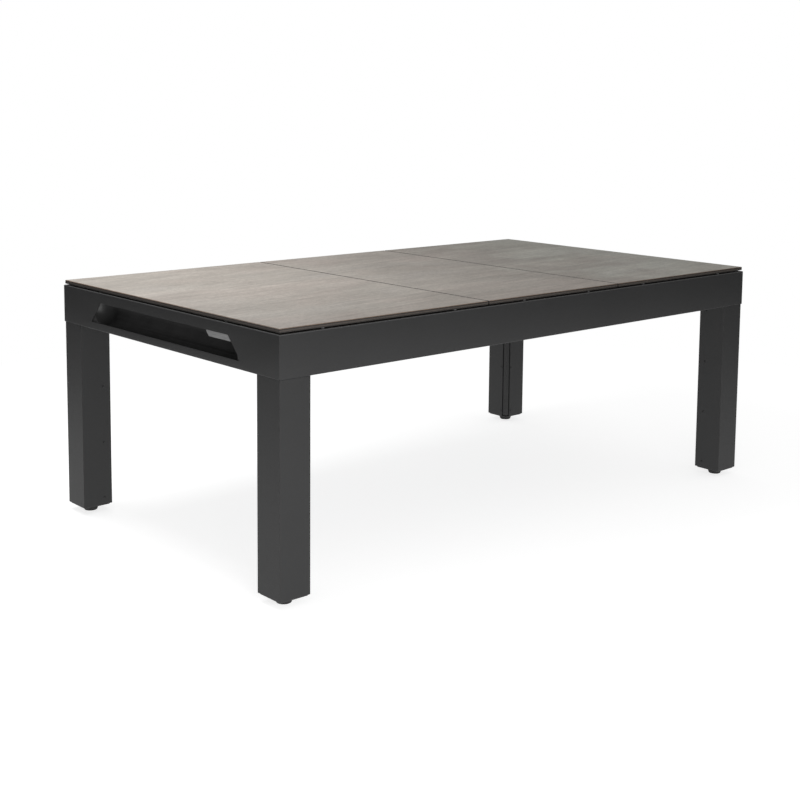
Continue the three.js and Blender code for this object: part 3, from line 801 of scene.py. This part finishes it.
# ---------- legs ----------
def legs(coat, frame_coat, plastic, rubber_pad, steel):
    for end, sx in ENDS:
        for side, sy in SIDES:
            name = f"{side}_{end}"
            piece(f"{name}_leg_cover", from_cad(f"{name}_leg_shell"), coat,
                  replaced=[f"{name}_leg_shell"], edge=1.1 * MM, segments=3)
            piece(f"{name}_leg_inner_post", from_cad(f"{name}_leg_post"), frame_coat,
                  replaced=[f"{name}_leg_post"], edge=0.9 * MM)
            piece(f"{name}_leg_end_cap", from_cad(f"{name}_leg_cap"), plastic,
                  replaced=[f"{name}_leg_cap"], edge=0.5 * MM)
            foot_disc(name, rubber_pad)
            levelling_thread(name, steel)
            leg_screws(name, sx, sy, steel)


def foot_disc(name, rubber_pad):
    """A rubber disc, hollow at its middle, whose side spreads upwards to a round shoulder."""
    low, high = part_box(f"{name}_foot_pad")
    centre = ((low.x + high.x) / 2, (low.y + high.y) / 2)
    radius = (high.x - low.x) / 2
    tread = 0.84 * radius  # what touches the floor
    base, top = low.z, high.z
    profile = [
        (0.5 * MM, base + 0.6 * MM),
        (tread - 3.0 * MM, base + 0.6 * MM),
        (tread - 2.2 * MM, base),
        (tread - 0.6 * MM, base),
        (tread + 0.2 * MM, base + 0.5 * MM),
        (tread + 0.8 * MM, base + 1.6 * MM),
        (radius - 1.3 * MM, base + 6.5 * MM),
        (radius - 0.3 * MM, base + 9.5 * MM),
        (radius, base + 10.8 * MM),
        (radius - 0.4 * MM, base + 12.2 * MM),
        (radius - 1.5 * MM, top - 0.6 * MM),
        (radius - 3.2 * MM, top - 0.1 * MM),
        (radius - 5.0 * MM, top),
        (6.2 * MM, top),
        (5.8 * MM, top - 0.4 * MM),
        (5.8 * MM, base + 4 * MM),
        (0.5 * MM, base + 4 * MM),
    ]
    piece(f"{name}_foot_disc", turned(profile, centre), rubber_pad,
          body=f"{name}_foot", replaced=[f"{name}_foot_pad"])


def levelling_thread(name, steel):
    """The foot's threaded stud, its thread drawn as rings."""
    low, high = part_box(f"{name}_levelling_stud")
    centre = ((low.x + high.x) / 2, (low.y + high.y) / 2)
    crest, root, pitch = 5 * MM, 4.4 * MM, 1.5 * MM
    z = low.z + 0.7 * MM
    profile = [(3.6 * MM, low.z), (root, z)]
    while z + pitch < high.z - MM:
        profile += [
            (root, z + 0.1 * pitch),
            (crest, z + 0.45 * pitch),
            (crest, z + 0.6 * pitch),
            (root, z + 0.95 * pitch),
        ]
        z += pitch
    profile += [(root, high.z - 0.6 * MM), (3.8 * MM, high.z)]
    piece(f"{name}_levelling_thread", turned(profile, centre, 48), steel,
          body=f"{name}_foot", replaced=[f"{name}_levelling_stud"], smooth=25)


def button_screw(radius, rise):
    """A socket button head standing on the plane z = 0, pointing along +Z."""
    steps, sweep = 7, math.radians(56)
    turn = [sweep * i / steps for i in range(steps + 1)]
    dome = [(radius * math.cos(t), rise * math.sin(t)) for t in turn]
    crown = dome[-1][1]
    socket = [
        (1.55 * MM, crown),
        (1.5 * MM, crown - 1.2 * MM),
        (0.3 * MM, crown - 1.4 * MM),
    ]
    buried = (radius, -0.6 * MM)
    return turned([buried, *dome, *socket], (0, 0), 28)


def leg_screws(name, sx, sy, steel):
    """Button heads up both inner faces of a leg, and two under the body beside it."""
    low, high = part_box(f"{name}_leg_shell")
    inner_x = low.x if sx > 0 else high.x
    inner_y = low.y if sy > 0 else high.y
    from_corner = 28.5 * MM
    lowest, spacing, count = 48 * MM, 190.5 * MM, 4
    from_leg, from_side = (19 * MM, 113 * MM), 12 * MM  # of the two under the body
    towards_x = Matrix.Rotation(-sx * math.pi / 2, 4, "Y")
    towards_y = Matrix.Rotation(sy * math.pi / 2, 4, "X")
    downwards = Matrix.Rotation(math.pi, 4, "X")
    places = []
    for i in range(count):
        z = lowest + spacing * i
        places.append(((inner_x, inner_y + sy * from_corner, z), towards_x))
        places.append(((inner_x + sx * from_corner, inner_y, z), towards_y))
    for distance in from_leg:
        under = (inner_x - sx * distance, sy * (HALF_Y - from_side), BODY_BASE)
        places.append((under, downwards))
    heads = []
    for place, turn in places:
        head = button_screw(3.6 * MM, 2.2 * MM)
        bmesh.ops.transform(head, matrix=Matrix.Translation(place) @ turn, verts=head.verts)
        heads.append(head)
    piece(f"{name}_leg_screws", merged(*heads), steel)


# ---------- build ----------
make_camera()
make_floor()
make_light()

steel_coat = powder_coat("powder_coat", 0.022)
inner_coat = powder_coat("inner_powder_coat", 0.018)
gloss_black = moulded_plastic("gloss_black_plastic", 0.025, 0.45)
satin_black = moulded_plastic("satin_black_plastic", 0.014, 0.42)
cloth = billiard_cloth("billiard_cloth")

# The second coat, about three times lighter than the body's, is a painted highlight for the bend
# along the top edge.
body_shell(steel_coat, powder_coat("painted_highlight_powder_coat", 0.070))
name_plate(brushed_plate())
top_face = laminate_face()
top_bevel = laminate_bevel()
top_core = laminate_core()
for place in PLACES:
    panel(place, top_face, top_bevel, top_core)
bumpers(rubber("bumper_rubber", 0.12))
rails(stained_rail())
cushions(cloth)
pocket_liners(satin_black)
bed(honed_slate(), cloth, inner_coat)
ball_return(zinc("galvanised_sheet"), gloss_black)
slot_baffles(satin_black)
legs(steel_coat, inner_coat, satin_black, rubber("foot_rubber", 0.016), black_oxide())
